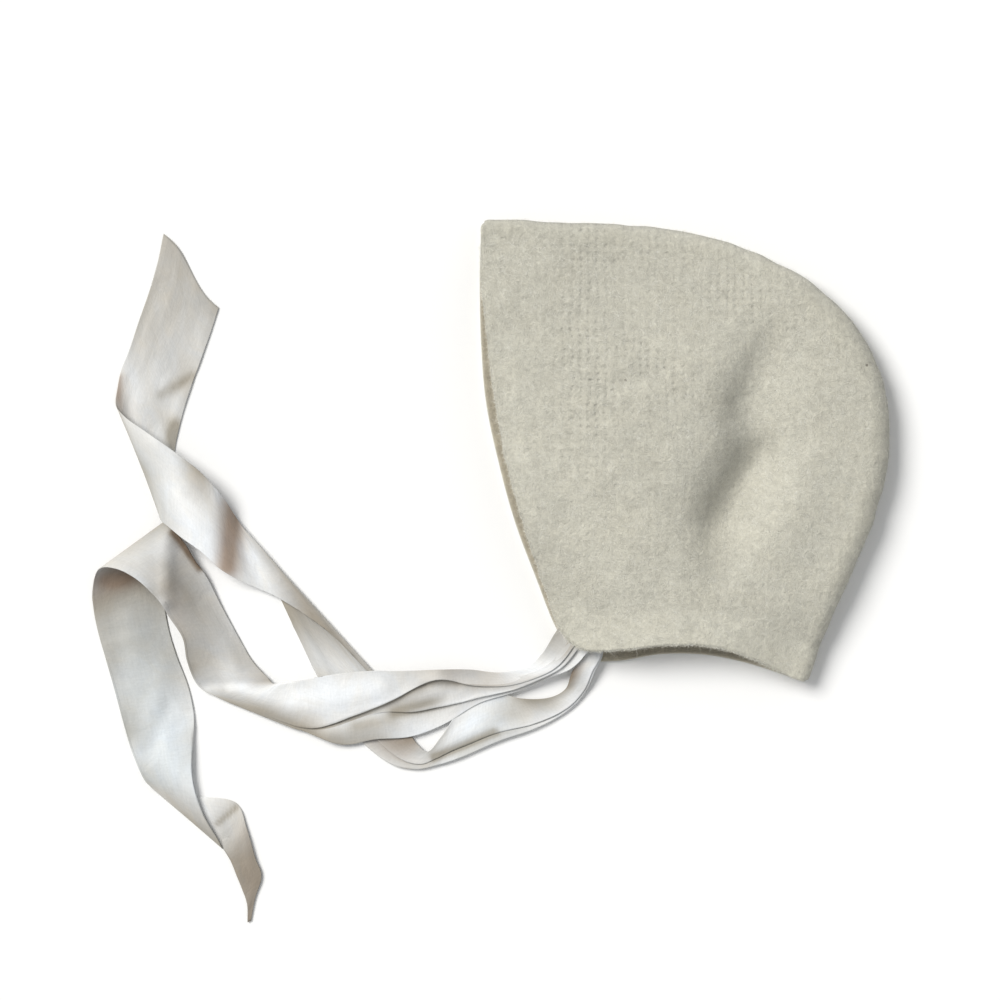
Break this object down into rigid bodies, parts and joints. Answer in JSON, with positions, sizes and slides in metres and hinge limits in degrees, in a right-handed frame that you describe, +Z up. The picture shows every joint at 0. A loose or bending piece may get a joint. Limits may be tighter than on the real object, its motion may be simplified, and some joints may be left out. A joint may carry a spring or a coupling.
{
  "type": "baby bonnet with ribbon ties",
  "caption": "Felted wool baby bonnet lying on its side, open at the face and the neck, with two loose silk ribbon ties.",
  "frame": {"origin": "on the flat underside of the lower wall, below the middle of the bonnet's outline", "axes": "+Z up from the surface it lies on, +X from the face opening to the back of the head, +Y to the top of the head"},
  "size_m": [0.2862, 0.2521, 0.0215],
  "materials": {
    "wool_felt": "matte boiled wool with a short nap and faint knitted rows",
    "silk_ribbon": "plain-weave silk with a soft sheen"
  },
  "bodies": {
    "root": {"crown": "wool_felt", "tie_near": "silk_ribbon", "tie_far": "silk_ribbon"}
  },
  "joints": []
}
